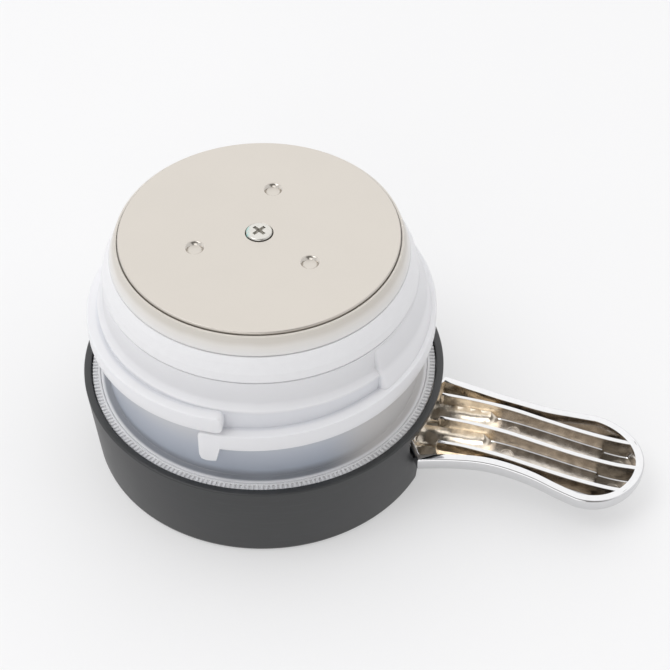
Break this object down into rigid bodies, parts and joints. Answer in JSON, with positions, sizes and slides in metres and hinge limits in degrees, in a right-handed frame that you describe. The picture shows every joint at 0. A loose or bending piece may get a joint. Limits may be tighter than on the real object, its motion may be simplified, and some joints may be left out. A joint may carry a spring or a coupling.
{
  "type": "vacuum jug pouring stopper with thumb lever",
  "caption": "Screw-in pouring stopper of a vacuum jug: black cap, translucent threaded body, sprung valve with steel disc, and a hollow chromed thumb lever.",
  "frame": {"origin": "on the stopper's axis, in the flat top face of the cap on which the stopper stands upside down", "axes": "+Z along the stopper's axis from the cap towards the steel valve disc, +X along the thumb lever away from the cap"},
  "size_m": [0.1516, 0.096, 0.0701],
  "materials": {
    "black_plastic": "satin black moulded plastic",
    "milky_polypropylene": "translucent milky polypropylene, satin",
    "stainless_sheet": "fine satin stainless sheet, faintly warm",
    "chrome_plate": "bright chrome plate on a moulding",
    "bright_steel": "bright steel",
    "white_silicone": "white translucent silicone",
    "grey_silicone": "grey silicone",
    "natural_acetal": "natural acetal",
    "black_rubber": "black rubber"
  },
  "bodies": {
    "stopper": {"cap_shell": "black_plastic", "stopper_body": "milky_polypropylene", "locating_ring": "milky_polypropylene", "flange_seal": "grey_silicone", "mouth_gasket": "white_silicone", "cap_screw_1": "bright_steel", "cap_screw_2": "bright_steel", "cap_screw_3": "bright_steel", "stem_bush": "natural_acetal", "spring_washer": "bright_steel", "stem_oring": "black_rubber", "oring_retainer": "bright_steel", "return_spring": "bright_steel", "lever_pin": "bright_steel", "pin_clip_left": "bright_steel", "pin_clip_right": "bright_steel"},
    "lever": {"lever": "chrome_plate"},
    "valve": {"valve_disc": "stainless_sheet", "disc_washer": "black_rubber", "disc_screw": "bright_steel", "valve_seal": "grey_silicone", "valve_carrier": "milky_polypropylene", "valve_stem": "natural_acetal", "stem_cap": "natural_acetal", "stem_pin": "bright_steel"}
  },
  "joints": [
    {"name": "lever_press", "type": "hinge", "parent": "stopper", "child": "lever", "pos_m": [-0.038, 0, 0.0093], "axis": [0, -1, 0], "range_deg": [0, 3.5]},
    {"name": "valve_lift", "type": "slide", "parent": "stopper", "child": "valve", "axis": [0, 0, 1], "range_m": [0, 0.00235], "stiffness_N_per_m": 1500, "springref_m": -0.004, "deforming": ["return_spring"]}
  ],
  "couplings": [
    {"joint": "valve_lift", "follows": "lever_press", "m_per_rad": 0.038}
  ]
}
